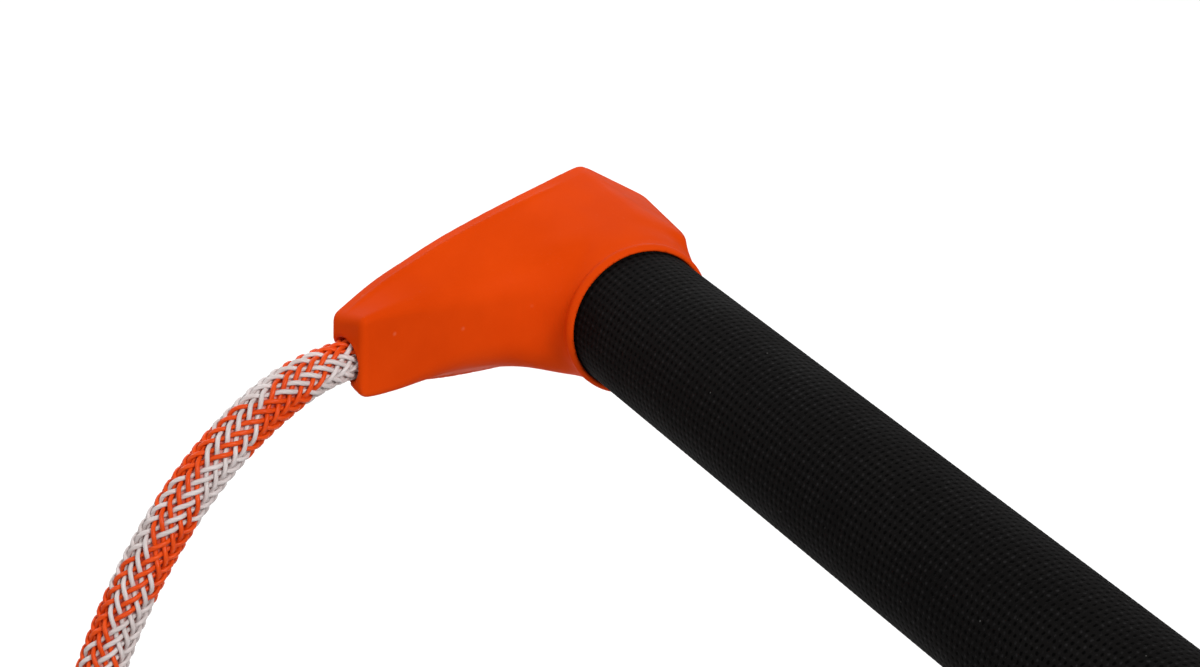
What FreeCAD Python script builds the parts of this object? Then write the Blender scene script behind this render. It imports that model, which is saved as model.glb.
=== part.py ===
"""Tow rope handle: a gripped bar between two moulded end caps, with one bridle rope from cap to cap.

Millimetres, +Z up. X runs along the bar, the rope leaves both caps towards -Y, and the origin is
the middle of the grip, where a hand holds it. The left end is built and mirrored to make the right.
"""
import FreeCAD, Part
import math
import os

from FreeCAD import Vector

# Bar, from the outside in
overall_length = 381.0
cap_length = 37.0
grip_diameter = 29.0
tube_diameter = 22.2
tube_wall = 1.6
grip_overlap = 3.0          # how far the grip runs into each cap's rim
fit_gap = 0.05              # radial gap of a push fit
foam_length = 288.0
foam_clearance = 0.4
foam_to_bung = 0.5
bung_length = 12.0
bung_rounding = 1.0
overcut = 1.0               # how far a cut runs past the face it opens

# End cap: half heights and places along its nose, all at the left end
barrel_radius = 18.2
rim_radius = 16.3
rim_rounding = 1.4
cap_floor = 3.3
strip_width = 3.6           # flat strip along the outboard edge
# One row for each section: outboard y, inboard y, outboard x, inboard x,
# then the half heights at the outboard edge, the strip's inner edge and the inboard ridge
cap_sections = [
    (-60.1, -58.2, -168.7, -157.8, 5.8, 6.7, 7.6),
    (-56.5, -54.6, -169.9, -158.4, 7.2, 7.5, 8.3),
    (-50.0, -48.8, -172.1, -159.4, 9.1, 9.3, 8.7),
    (-42.0, -41.4, -174.8, -160.8, 11.5, 11.6, 8.3),
    (-33.0, -33.0, -177.8, -162.3, 13.8, 13.9, 7.2),
    (-22.0, -22.0, -181.5, -163.8, 15.8, 15.8, 7.4),
    (-10.0, -10.0, -185.5, -163.0, 17.3, 17.4, 12.5),
    (5.0, 5.0, -190.5, -157.0, 19.1, 19.1, 15.4),
    (20.2, 14.0, -190.5, -157.0, 9.8, 9.8, 7.5),
]

# Rope, its way through the cap and what holds it there
rope_diameter = 9.5
rope_hole_diameter = 9.8
rope_foot = Vector(-175.7, 0.0, 0.0)        # where the rope's line crosses the bar's axis
nose_mouth = Vector(-164.2, -59.2, -2.4)    # where it leaves the nose
anchor_plug_length = 29.0
knot_diameter = 15.6
knot_length = 11.5
knot_rounding = 3.0
knot_end_room = 0.5
washer_diameter = 15.6
washer_thickness = 1.5
knot_pocket_diameter = 16.4
bush_diameter = 12.4
bush_flange_diameter = 15.4
bush_flange_thickness = 1.4
bush_flange_standoff = 0.4
bush_length = 4.2

# Bridle: the left leg's route from the nose's mouth down to the hank
leg_route = [
    (-164.2, -59.2, -2.4),
    (-162.9, -66.1, -2.7),
    (-160.6, -77.9, -7.4),
    (-158.1, -90.6, -16.6),
    (-155.9, -101.9, -29.4),
    (-154.2, -110.7, -43.8),
    (-152.5, -117.1, -58.0),
    (-147.0, -123.0, -72.0),
    (-136.5, -129.0, -86.0),
    (-121.5, -134.5, -97.0),
    (-103.5, -139.5, -106.5),
    (-84.5, -144.0, -116.5),
    (-66.0, -148.0, -128.5),
    (-50.0, -151.0, -143.5),
    (-37.0, -152.5, -161.0),
    (-28.5, -151.5, -179.5),
]

# Hank: six columns of rope side by side, tied at the waist
columns = 6
column_pitch = 9.9
hank_y = -142.0
hank_z = -212.0
hank_half_height = 66.0
hank_half_depth = 28.0
waist_half_depth = 5.0
waist_half_height = 13.0
lobe_height = 42.0          # where the lobes are widest, from the waist's middle
lobe_top = 20.0             # half depth of the flat at each lobe's end
strap_width = 24.0
strap_thickness = 1.8

# Eye at the middle of the bridle, hanging out of the hank's underside
neck_half_spacing = 4.95
eye_route = [
    (-4.95, 0.0),
    (-4.95, -13.0),
    (-6.5, -25.0),
    (-14.5, -36.0),
    (-21.5, -48.0),
    (-18.5, -61.0),
    (-7.5, -69.0),
]
whipping_height = 12.0
whipping_thickness = 1.6
whipping_top = -5.0

half_length = overall_length / 2
rim_x = -half_length + cap_length
tube_radius = tube_diameter / 2
tube_bore_radius = tube_radius - tube_wall
tube_half_length = half_length - cap_floor - fit_gap
grip_half_length = -rim_x + grip_overlap
rope_radius = rope_diameter / 2
along_x = Vector(1, 0, 0)
mouth_distance = (nose_mouth - rope_foot).Length
rope_out = (nose_mouth - rope_foot) * (1 / mouth_distance)
hank_half_width = columns * column_pitch / 2
hank_outer_height = hank_half_height + rope_radius


def rod(radius, start, end, y=0.0, z=0.0):
    """A round bar along X."""
    return Part.makeCylinder(radius, end - start, Vector(start, y, z), along_x)


def rope_rod(radius, start, end):
    """A round bar along the rope's hole, measured outwards from the bar's axis."""
    return Part.makeCylinder(radius, end - start, rope_foot + rope_out * start, rope_out)


def other_end(shape):
    """The same piece at the right end."""
    return shape.mirror(Vector(0, 0, 0), along_x)


def polygon(points):
    return Part.makePolygon([*points, points[0]])


def round_edges(shape):
    """The circular edges at a round bar's ends."""
    return [edge for edge in shape.Edges if edge.Curve.TypeId == "Part::GeomCircle"]


def rounded_path(points):
    """Straight runs joined by tangent arcs, each as large as its two runs allow, and the radii."""
    edges = []
    radii = []
    start = points[0]
    for before, corner, after in zip(points, points[1:], points[2:]):
        back = before - corner
        ahead = after - corner
        trim = 0.45 * min(back.Length, ahead.Length)
        turn = math.pi - back.getAngle(ahead)
        radius = trim / math.tan(turn / 2)
        arc_start = corner + back * (trim / back.Length)
        arc_end = corner + ahead * (trim / ahead.Length)
        bisector = (back * (1 / back.Length) + ahead * (1 / ahead.Length)).normalize()
        middle = corner + bisector * (math.hypot(radius, trim) - radius)
        edges.append(Part.LineSegment(start, arc_start).toShape())
        edges.append(Part.Arc(arc_start, middle, arc_end).toShape())
        radii.append(radius)
        start = arc_end
    edges.append(Part.LineSegment(start, points[-1]).toShape())
    return Part.Wire(edges), radii


def tube_along(name, points):
    """A rope's solid along its route. Prints its length, radii and volume against section x length."""
    path, radii = rounded_path(points)
    direction = (points[1] - points[0]).normalize()
    section = Part.Wire(Part.makeCircle(rope_radius, points[0], direction))
    solid = path.makePipeShell([section], True, False)
    expected = math.pi * rope_radius**2 * path.Length
    print(f"{name}: length {path.Length:.1f} mm, radii {[round(r) for r in radii]}, "
          f"volume / (section x length) {solid.Volume / expected:.4f}")
    return solid


def cap_section(outboard_y, inboard_y, outboard_x, inboard_x, edge, strip, ridge):
    """Six-sided section of the cap's body: tall outboard side, short inboard side."""
    slope = (inboard_y - outboard_y) / (inboard_x - outboard_x)
    strip_x = outboard_x + strip_width
    strip_y = outboard_y + slope * strip_width
    upper = [
        Vector(outboard_x, outboard_y, edge),
        Vector(strip_x, strip_y, strip),
        Vector(inboard_x, inboard_y, ridge),
    ]
    lower = [Vector(p.x, p.y, -p.z) for p in reversed(upper)]
    return polygon(upper + lower)


def end_cap():
    """The moulded cap: faceted body and round barrel, bored for the bar and for the rope."""
    body = Part.makeLoft([cap_section(*row) for row in cap_sections], True, True)
    start = Vector(-half_length, 0, 0)
    barrel = Part.makeCone(barrel_radius, rim_radius, cap_length, start, along_x)
    rim = [edge for edge in barrel.Edges if abs(edge.CenterOfMass.x - rim_x) < fit_gap]
    barrel = barrel.makeFillet(rim_rounding, rim)
    cap = body.fuse(barrel).removeSplitter()
    cuts = [
        rod(tube_radius + fit_gap, -tube_half_length - fit_gap, rim_x + overcut),
        rod(grip_diameter / 2 + fit_gap, rim_x - grip_overlap, rim_x + overcut),
        rope_rod(rope_hole_diameter / 2, 0, mouth_distance + rope_diameter),
        rope_rod(bush_flange_diameter / 2 + fit_gap, 0, bush_end() + fit_gap),
        rope_rod(knot_pocket_diameter / 2, -washer_thickness - knot_length - knot_end_room, 0),
    ]
    for cut in cuts:
        cap = cap.cut(cut)
    return cap


def bush_end():
    """How far out along the rope the bush's flange reaches."""
    return tube_radius + bush_flange_thickness + bush_flange_standoff


def bar_tube():
    tube = rod(tube_radius, -tube_half_length, tube_half_length)
    tube = tube.cut(rod(tube_bore_radius, -tube_half_length, tube_half_length))
    front_hole = rope_rod(bush_diameter / 2 + fit_gap, 0, barrel_radius)
    rear_hole = rope_rod(knot_pocket_diameter / 2, -barrel_radius, 0)
    for hole in (front_hole, rear_hole):
        tube = tube.cut(hole).cut(other_end(hole))
    return tube


def anchor_plug():
    """Plug in the tube's end that the rope crosses, with a seat for the washer and the knot."""
    start = -tube_half_length
    plug = rod(tube_bore_radius - fit_gap, start, start + anchor_plug_length)
    plug = plug.cut(rope_rod(rope_hole_diameter / 2, 0, barrel_radius))
    plug = plug.cut(rope_rod(bush_diameter / 2 + fit_gap, bush_end() - bush_length - fit_gap, barrel_radius))
    return plug.cut(rope_rod(knot_pocket_diameter / 2, -barrel_radius, 0))


def sealing_bung():
    """Rubber bung that keeps water out of the tube's middle."""
    end = -foam_length / 2 - foam_to_bung
    bung = rod(tube_bore_radius - fit_gap, end - bung_length, end)
    return bung.makeFillet(bung_rounding, round_edges(bung))


def rope_bush():
    """Flanged bush in the tube's front hole, so that the metal edge doesn't cut the rope."""
    end = bush_end()
    bush = rope_rod(bush_diameter / 2, end - bush_length, end)
    flange = rope_rod(bush_flange_diameter / 2, end - bush_flange_thickness, end)
    around_tube = rod(tube_radius + fit_gap, -half_length, rim_x)
    flange = flange.cut(around_tube)
    return bush.fuse(flange).removeSplitter().cut(rope_rod(rope_hole_diameter / 2, 0, barrel_radius))


def knot_washer():
    washer = rope_rod(washer_diameter / 2, -washer_thickness, 0)
    return washer.cut(rope_rod(rope_radius + fit_gap, -washer_thickness, 0))


def stopper_knot():
    """The knot's outer shape, a rounded barrel behind the washer."""
    start = -washer_thickness - knot_length
    knot = rope_rod(knot_diameter / 2, start, start + knot_length)
    return knot.makeFillet(knot_rounding, round_edges(knot))


def hank():
    """Outer shape of the coiled length: two lobes above and below a tied waist."""
    waist = waist_half_depth + rope_radius
    lobe = hank_half_depth + rope_radius
    quarter = [
        (waist, waist_half_height),
        (lobe, lobe_height),
        (lobe_top, hank_outer_height),
    ]
    profile = quarter + [(-y, z) for y, z in reversed(quarter)]
    profile += [(-y, -z) for y, z in quarter] + [(y, -z) for y, z in reversed(quarter)]
    outline = polygon([Vector(-hank_half_width, hank_y + y, hank_z + z) for y, z in profile])
    return Part.Face(outline).extrude(Vector(2 * hank_half_width, 0, 0))


def hank_strap():
    """Hook-and-loop strap around the hank's waist."""
    inner = Vector(2 * hank_half_width, 2 * (waist_half_depth + rope_radius), strap_width)
    outer = inner + Vector(2 * strap_thickness, 2 * strap_thickness, 0)
    middle = Vector(0, hank_y, hank_z)
    band = Part.makeBox(outer.x, outer.y, outer.z, middle - outer * 0.5)
    upright = [edge for edge in band.Edges if edge.BoundBox.ZLength > strap_width / 2]
    band = band.makeFillet(strap_thickness, upright)
    return band.cut(Part.makeBox(inner.x, inner.y, inner.z, middle - inner * 0.5))


def eye_points():
    """The eye's route, from the hank's underside round and back up to it."""
    top = hank_z - hank_outer_height
    left = [Vector(x, hank_y, top + z) for x, z in eye_route]
    return left + [Vector(-p.x, p.y, p.z) for p in reversed(left)]


def eye_whipping():
    """Tight binding around the eye's neck."""
    top = hank_z - hank_outer_height + whipping_top
    outer_radius = rope_radius + whipping_thickness

    def stadium(radius):
        ends = [
            Part.makeCylinder(radius, whipping_height, Vector(x, hank_y, top - whipping_height))
            for x in (-neck_half_spacing, neck_half_spacing)
        ]
        corner = Vector(-neck_half_spacing, hank_y - radius, top - whipping_height)
        block = Part.makeBox(2 * neck_half_spacing, 2 * radius, whipping_height, corner)
        return ends[0].fuse([ends[1], block]).removeSplitter()

    return stadium(outer_radius).cut(stadium(rope_radius + fit_gap))


def rope_leg():
    """The leg's tube, from the nose's mouth to where it goes into the hank's side."""
    return tube_along("rope_leg", [Vector(*point) for point in leg_route]).cut(hank())


grip = rod(grip_diameter / 2, -grip_half_length, grip_half_length)
centre_parts = {
    "bar_tube": bar_tube(),
    "grip_sleeve": grip.cut(rod(tube_radius + fit_gap, -grip_half_length, grip_half_length)),
    "foam_core": rod(tube_bore_radius - foam_clearance, -foam_length / 2, foam_length / 2),
    "rope_hank": hank(),
    "hank_strap": hank_strap(),
    "rope_eye": tube_along("rope_eye", eye_points()),
    "eye_whipping": eye_whipping(),
}
end_parts = {
    "end_cap": end_cap(),
    "anchor_plug": anchor_plug(),
    "sealing_bung": sealing_bung(),
    "rope_bush": rope_bush(),
    "knot_washer": knot_washer(),
    "stopper_knot": stopper_knot(),
    "rope_inner_run": rope_rod(rope_radius, -washer_thickness, mouth_distance),
    "rope_leg": rope_leg(),
}

os.makedirs("parts", exist_ok=True)
shapes = dict(centre_parts)
for name, shape in end_parts.items():
    shapes[name + "_left"] = shape
    shapes[name + "_right"] = other_end(shape)
for name, shape in shapes.items():
    print(f"{name}: {len(shape.Solids)} solid, valid {shape.isValid()}, {shape.Volume / 1000:.2f} cm3")
    shape.exportStep(f"parts/{name}.step")
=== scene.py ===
import functools
import math

import bpy
import numpy as np
from mathutils import Matrix, Vector


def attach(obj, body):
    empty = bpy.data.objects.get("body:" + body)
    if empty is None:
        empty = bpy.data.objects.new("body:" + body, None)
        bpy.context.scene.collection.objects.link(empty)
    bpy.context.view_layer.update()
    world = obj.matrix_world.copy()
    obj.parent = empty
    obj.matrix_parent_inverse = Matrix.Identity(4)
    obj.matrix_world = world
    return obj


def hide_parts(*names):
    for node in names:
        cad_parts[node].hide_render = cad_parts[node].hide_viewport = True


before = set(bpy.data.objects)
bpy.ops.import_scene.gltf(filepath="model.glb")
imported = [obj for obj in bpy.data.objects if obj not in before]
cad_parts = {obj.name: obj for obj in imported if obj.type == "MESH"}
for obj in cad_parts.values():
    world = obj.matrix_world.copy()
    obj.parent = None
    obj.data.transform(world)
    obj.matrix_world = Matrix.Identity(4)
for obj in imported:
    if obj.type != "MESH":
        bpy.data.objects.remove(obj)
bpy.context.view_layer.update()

MM = 0.001


# ---------------------------------------------------------------- camera
CAMERA_PLACE = Vector((0.48486, -0.34884, 0.31605))
CAMERA_HEADING = 61.97      # degrees, from +Y towards -X
CAMERA_DOWN = 23.68
CAMERA_ROLL = 1.94
CAMERA_LENS = 120.0
SENSOR_WIDTH = 36.0


def make_camera():
    heading = math.radians(CAMERA_HEADING)
    down = math.radians(CAMERA_DOWN)
    level = math.cos(down)
    forward = Vector((-math.sin(heading) * level, math.cos(heading) * level, -math.sin(down)))
    level_right = forward.cross(Vector((0, 0, 1))).normalized()
    turn = Matrix.Rotation(math.radians(-CAMERA_ROLL), 3, forward)
    right = turn @ level_right
    up = right.cross(forward)
    data = bpy.data.cameras.new("camera")
    data.lens = CAMERA_LENS
    data.sensor_width = SENSOR_WIDTH
    data.clip_start = 0.01
    data.clip_end = 50.0
    camera = bpy.data.objects.new("camera", data)
    axes = Matrix((right, up, -forward)).transposed()
    camera.matrix_world = Matrix.Translation(CAMERA_PLACE) @ axes.to_4x4()
    bpy.context.scene.collection.objects.link(camera)
    bpy.context.scene.camera = camera


# ---------------------------------------------------------------- rope: its line
ROPE_DIAMETER = 9.5 * MM
# The left leg, from the cap's mouth down to the hank
LEG_ROUTE = [
    (-0.1642, -0.0592, -0.0024),
    (-0.1629, -0.0661, -0.0027),
    (-0.1606, -0.0779, -0.0074),
    (-0.1581, -0.0906, -0.0166),
    (-0.1559, -0.1019, -0.0294),
    (-0.1542, -0.1107, -0.0438),
    (-0.1525, -0.1171, -0.0580),
    (-0.1470, -0.1230, -0.0720),
    (-0.1365, -0.1290, -0.0860),
    (-0.1215, -0.1345, -0.0970),
    (-0.1035, -0.1395, -0.1065),
    (-0.0845, -0.1440, -0.1165),
    (-0.0660, -0.1480, -0.1285),
    (-0.0500, -0.1510, -0.1435),
    (-0.0370, -0.1525, -0.1610),
    (-0.0285, -0.1515, -0.1795),
]
# The eye's left half, x and height from the hank's underside
EYE_ROUTE = [
    (-0.00495, 0.0000),
    (-0.00495, -0.0130),
    (-0.0065, -0.0250),
    (-0.0145, -0.0360),
    (-0.0215, -0.0480),
    (-0.0185, -0.0610),
    (-0.0075, -0.0690),
]
HANK_Y = -0.142
HANK_Z = -0.212
HANK_HALF_HEIGHT = 0.066
HANK_HALF_DEPTH = 0.0275
HANK_UNDERSIDE = HANK_Z - HANK_HALF_HEIGHT - ROPE_DIAMETER / 2
WAIST_HALF_DEPTH = 0.0050
WAIST_REACH = 0.036           # how far above and below its middle the strap pinches the hank
TURN_SIZE = (0.975, 0.95)     # of each turn, against the hank's half height and depth
TURN_SHAPE = 0.75             # 1 makes a turn's ends round, and less makes them squarer
COLUMN_PITCH = 0.0099
POINTS_PER_TURN = 24
LINE_STEPS = 12               # points of the smooth line for each control point
# From the last turn to the eye's neck: how far in front of the hank's middle, and height over it
EYE_LEAD = [(WAIST_HALF_DEPTH, 0.0), (0.006, -0.022), (0.005, -0.044)]


def hank_point(turn, column_from, size):
    """A point of the hank: turn 0 is the front of the waist going down, 0.5 the back going up."""
    angle = 2 * math.pi * turn
    upward = -math.sin(angle) * HANK_HALF_HEIGHT * size
    depth = HANK_HALF_DEPTH * size
    pinch = 1 - WAIST_HALF_DEPTH / depth
    side = math.copysign(abs(math.cos(angle)) ** TURN_SHAPE, math.cos(angle))
    fore = depth * side * (1 - pinch * math.exp(-(upward / WAIST_REACH) ** 4))
    rise = max(0.0, turn - 0.5) * 2
    shift = COLUMN_PITCH * (3 * rise**2 - 2 * rise**3)
    return Vector((column_from + shift, HANK_Y - fore, HANK_Z + upward))


def half_route():
    """The rope's left half, from the cap to the bottom of the eye."""
    points = [Vector(p) for p in LEG_ROUTE]
    for turn, size in enumerate(TURN_SIZE):
        column = -COLUMN_PITCH * (len(TURN_SIZE) + 0.5 - turn)
        for step in range(POINTS_PER_TURN):
            points.append(hank_point(step / POINTS_PER_TURN, column, size))
    points += [Vector((-COLUMN_PITCH / 2, HANK_Y - fore, HANK_Z + high)) for fore, high in EYE_LEAD]
    points += [Vector((x, HANK_Y, HANK_UNDERSIDE + z)) for x, z in EYE_ROUTE]
    return points


def mirrored(place):
    return Vector((-place.x, place.y, place.z))


def rope_route():
    left = half_route()
    return left + [mirrored(place) for place in reversed(left)]


def smooth_line(points):
    """Points of the smooth NURBS line that has these control points."""
    data = bpy.data.curves.new("route", "CURVE")
    data.dimensions = "3D"
    spline = data.splines.new("NURBS")
    spline.points.add(len(points) - 1)
    for control, place in zip(spline.points, points):
        control.co = (*place, 1)
    spline.order_u = 3
    spline.use_endpoint_u = True
    spline.resolution_u = LINE_STEPS
    carrier = bpy.data.objects.new("route", data)
    mesh = bpy.data.meshes.new_from_object(carrier)
    line = np.array([v.co for v in mesh.vertices])
    bpy.data.meshes.remove(mesh)
    bpy.data.objects.remove(carrier)
    bpy.data.curves.remove(data)
    return line


# ---------------------------------------------------------------- meshes
def grid_faces(rows, columns, closed):
    """Quads of a grid of points, joined round each row if closed."""
    across = columns if closed else columns - 1
    row, column = np.meshgrid(np.arange(rows - 1), np.arange(across), indexing="ij")
    after = (column + 1) % columns
    start = row * columns
    corners = [start + column, start + after, start + columns + after, start + columns + column]
    return np.stack(corners, axis=-1).reshape(-1, 4)


def tube_faces(rings, sides, start=0):
    """Quads of a tube made of rings of points, and a face over each of its ends."""
    quads = grid_faces(rings, sides, True) + start
    first = list(range(start, start + sides))
    last = [index + (rings - 1) * sides for index in first]
    return [*quads.tolist(), first[::-1], last]


def make_piece(name, points, faces, materials, replaced, choice=None):
    """A smooth-shaded mesh piece that rides on the object's one body and stands for CAD nodes."""
    mesh = bpy.data.meshes.new(name)
    mesh.from_pydata(np.asarray(points).tolist(), [], [list(map(int, face)) for face in faces])
    for entry in materials:
        mesh.materials.append(entry)
    if choice is not None:
        mesh.polygons.foreach_set("material_index", choice)
    mesh.polygons.foreach_set("use_smooth", np.ones(len(mesh.polygons), bool))
    mesh.update()
    piece = bpy.data.objects.new(name, mesh)
    bpy.context.scene.collection.objects.link(piece)
    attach(piece, "root")
    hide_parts(*replaced)
    return piece


def unit(vectors):
    return vectors / np.linalg.norm(vectors, axis=-1, keepdims=True)


class Track:
    """A line read by distance, with two side directions that turn with it but don't twist."""

    def __init__(self, line):
        self.line = line
        self.at = np.concatenate([[0], np.cumsum(np.linalg.norm(np.diff(line, axis=0), axis=1))])
        self.length = self.at[-1]
        ahead = unit(np.gradient(line, axis=0))
        side = np.zeros_like(line)
        side[0] = unit(np.cross(ahead[0], (0.0, 0.0, 1.0)))
        for i in range(1, len(line)):
            carried = side[i - 1] - ahead[i] * np.dot(side[i - 1], ahead[i])
            side[i] = unit(carried)
        self.side = side
        self.up = np.cross(side, ahead)

    def read(self, values, places):
        return np.stack([np.interp(places, self.at, values[:, k]) for k in range(3)], axis=1)

    def at_places(self, places):
        side, up = unit(self.read(self.side, places)), unit(self.read(self.up, places))
        return self.read(self.line, places), side, up


def tube_points(centres, outward, ring):
    """Rings of points round each line of centres. ring holds (sideways, outward) offsets."""
    ahead = unit(np.gradient(centres, axis=-2))
    rise = unit(outward - ahead * np.sum(outward * ahead, axis=-1, keepdims=True))
    across = np.cross(ahead, rise)
    return (
        centres[..., None, :]
        + ring[:, 0, None] * across[..., None, :]
        + ring[:, 1, None] * rise[..., None, :]
    )


# ---------------------------------------------------------------- rope: its braid
STRANDS_EACH_WAY = 12
CROSSINGS = 2 * STRANDS_EACH_WAY
BRAID_LAY = 34.5 * MM
BRAID_TURN = -0.19            # turn of the whole pattern, in radians
BRAID_SHIFT = 1.15 * MM       # shift of the whole pattern along the rope
STRAND_WIDTH = 0.98 * MM
STRAND_HEIGHT = 0.86 * MM
STRAND_RISE = 0.40 * MM       # how far a strand goes out and in as it crosses over and under
RISE_LIMIT = 1.15             # a strand's rise and dip are flat past this share of it
FIRST_ORANGE = {1: 8, -1: 2}  # in each way, the first of six orange strands; the other six are white
WHITE, ORANGE, INSIDE = 0, 1, 2
CORE_RADIUS = 3.25 * MM
CORE_SIDES = 10
CORE_STEPS = 12               # rings of the core in each turn of the braid
FULLNESS = 1.03               # the free rope against its nominal size
SQUEEZE = 0.17                # how much thinner the rope is where the cap grips it
SQUEEZE_LENGTH = 12.0 * MM
FINE_LENGTH = 0.130           # the stretch by the left cap has more points
FINE_BRAID = (64, 7)          # rings in each turn of the braid, and sides of a strand
PLAIN_BRAID = (24, 4)
WHOLE = 1e-6                  # a count this close to a whole number is that number

HOLE_FOOT = Vector((-0.1757, 0.0, 0.0))       # where the rope's hole crosses the bar's axis
MOUTH = Vector(LEG_ROUTE[0])
HOLE_WAY = (MOUTH - HOLE_FOOT).normalized()
TUCK = 0.008                                  # how far inside the mouth the free rope's mesh begins
WASHER_FACE = 1.5 * MM                        # how far behind the foot the rope's inner run begins


def strand_ring(sides):
    """A strand's section, its seam on the inside."""
    angle = np.linspace(-math.pi / 2, 1.5 * math.pi, sides, endpoint=False)
    return np.stack([np.cos(angle) * STRAND_WIDTH / 2, np.sin(angle) * STRAND_HEIGHT / 2], axis=1)


def strand_rings(way, strand, turns, full, axes, ring):
    """Rings along one strand. It goes over two and under two of the strands of the other way.

    Which way lies on top depends only on the place round the rope, which makes the columns along it.
    """
    middle, side, up = axes
    place_round = strand / STRANDS_EACH_WAY + way * turns
    column = place_round * CROSSINGS
    wave = np.minimum(math.sqrt(2) * np.cos((column - 0.5) * math.pi / 2), RISE_LIMIT)
    middle_radius = ROPE_DIAMETER / 2 - STRAND_HEIGHT / 2 - STRAND_RISE * RISE_LIMIT
    radius = full * (middle_radius + way * STRAND_RISE * np.maximum(wave, -RISE_LIMIT))
    angle = 2 * math.pi * place_round + BRAID_TURN
    outward = np.cos(angle)[:, None] * side + np.sin(angle)[:, None] * up
    return tube_points(middle + radius[:, None] * outward, outward, ring)


def core_rings(full, axes):
    """Rings of a core tube in the rope's hollow middle, coloured with painted shade for the braid's
    inside, which shows between the strands.
    """
    middle, side, up = axes
    angle = np.linspace(0, 2 * math.pi, CORE_SIDES, endpoint=False)[:, None]
    outward = np.cos(angle) * side[:, None] + np.sin(angle) * up[:, None]
    return middle[:, None] + outward * (CORE_RADIUS * full[:, None, None])


class Bundle:
    """Tubes gathered for one mesh, with each face's colour and each point's place on its strand."""

    def __init__(self):
        self.points, self.faces, self.colours = [], [], []
        self.runs, self.rounds = [], []
        self.count = 0

    def add(self, rings, places, colour):
        number, sides = rings.shape[:2]
        faces = tube_faces(number, sides, self.count)
        if colour == INSIDE:
            faces = [face[::-1] for face in faces]
        self.points.append(rings.reshape(-1, 3))
        self.faces += faces
        self.colours += [colour] * len(faces)
        self.runs.append(np.repeat(places, sides))
        self.rounds.append(np.tile(np.arange(sides) / sides, number))
        self.count += number * sides


def add_braid(bundle, track, start, end, steps_per_turn, sides):
    """Adds a stretch of braid: 12 strands each way round a core."""
    step = BRAID_LAY / steps_per_turn
    places = np.arange(math.ceil(start / step - WHOLE), math.floor(end / step + WHOLE) + 1) * step
    places = np.clip(places, 0, track.length)
    axes = track.at_places(places)
    turns = (places - BRAID_SHIFT) / BRAID_LAY
    from_mouth = np.maximum(np.minimum(places, track.length - places) - TUCK, 0)
    full = FULLNESS - SQUEEZE * np.exp(-((from_mouth / SQUEEZE_LENGTH) ** 2))
    ring = strand_ring(sides)
    for way in (1, -1):
        for strand in range(STRANDS_EACH_WAY):
            is_orange = (strand - FIRST_ORANGE[way]) % STRANDS_EACH_WAY < STRANDS_EACH_WAY // 2
            rings = strand_rings(way, strand, turns, full, axes, ring)
            bundle.add(rings, places, ORANGE if is_orange else WHITE)
    every = max(1, steps_per_turn // CORE_STEPS)
    rows = np.unique(np.append(np.arange(0, len(places), every), len(places) - 1))
    bundle.add(core_rings(full[rows], [part[rows] for part in axes]), places[rows], INSIDE)


def braided_piece(name, track, stretches, replaced):
    """A piece of braid. Each stretch is (start, end, rings in each turn, sides of a strand)."""
    bundle = Bundle()
    for stretch in stretches:
        add_braid(bundle, track, *stretch)
    points = np.concatenate(bundle.points)
    piece = make_piece(name, points, bundle.faces, rope_materials(), replaced, bundle.colours)
    for label, values in (("strand_run", bundle.runs), ("strand_round", bundle.rounds)):
        attribute = piece.data.attributes.new(label, "FLOAT", "POINT")
        attribute.data.foreach_set("value", np.concatenate(values).astype(np.float32))
    return piece


def make_rope():
    """The whole rope, from one cap's mouth to the other's, as a braid on the smooth line."""
    inside = MOUTH - HOLE_WAY * TUCK
    line = np.array([inside, *smooth_line(rope_route()), mirrored(inside)])
    track = Track(line)
    stretches = [
        (0.0, FINE_LENGTH, *FINE_BRAID),
        (FINE_LENGTH, track.length, *PLAIN_BRAID),
    ]
    replaced = ["rope_leg_left", "rope_leg_right", "rope_hank", "rope_eye"]
    rope = braided_piece("rope", track, stretches, replaced)
    return rope, track


def make_inner_runs():
    """The rope inside each cap, from the knot's washer to the mouth."""
    start = HOLE_FOOT - HOLE_WAY * WASHER_FACE
    end = MOUTH - HOLE_WAY * TUCK
    for name, flip in (("left", Vector), ("right", mirrored)):
        track = Track(np.array([flip(start.lerp(end, step / 4)) for step in range(5)]))
        stretches = [(0.0, track.length, *PLAIN_BRAID)]
        braided_piece(f"rope_inner_{name}", track, stretches, [f"rope_inner_run_{name}"])


# ---------------------------------------------------------------- end caps
# Millimetres here, at the left end; the points are scaled to metres at the last
BAR_HALF = 190.5
RIM_X = -153.5
NOSE_SWEEP = 0.3345             # how far the outboard face comes inboard for each mm forward
SWEEP_START = 5.0               # y where it starts
SWEPT_SCALE = 0.948             # turns a distance along x from that face into one square to it
STRIP_WIDTH = 3.8
BEAD = 0.35                     # a raised line between the strip and the large facet
BEAD_WIDTH = 0.7
FACET_TURN = 0.9                # width of the turn from the strip to the facet
# Along the nose: y, then half heights at the outboard edge, the strip's inner edge and the ridge
NOSE_Y = (-60.0, -56.0, -50.0, -42.0, -34.0, -24.0, -12.0, 5.0)
EDGE_HEIGHT = (5.7, 7.5, 9.9, 12.1, 14.1, 15.9, 17.6, 19.6)
STRIP_HEIGHT = (6.3, 8.0, 10.3, 12.4, 14.3, 16.0, 17.6, 19.5)
RIDGE_HEIGHT = (8.3, 8.9, 9.0, 8.5, 8.1, 9.1, 12.7, 16.0)
INBOARD_X = (-157.6, -158.3, -159.5, -161.3, -162.8, -163.4, -161.6, -159.8)
EDGE_SOFTNESS = (1.6, 1.8, 2.2, 2.8, 3.4, 4.5, 6.0, 8.0)
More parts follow.
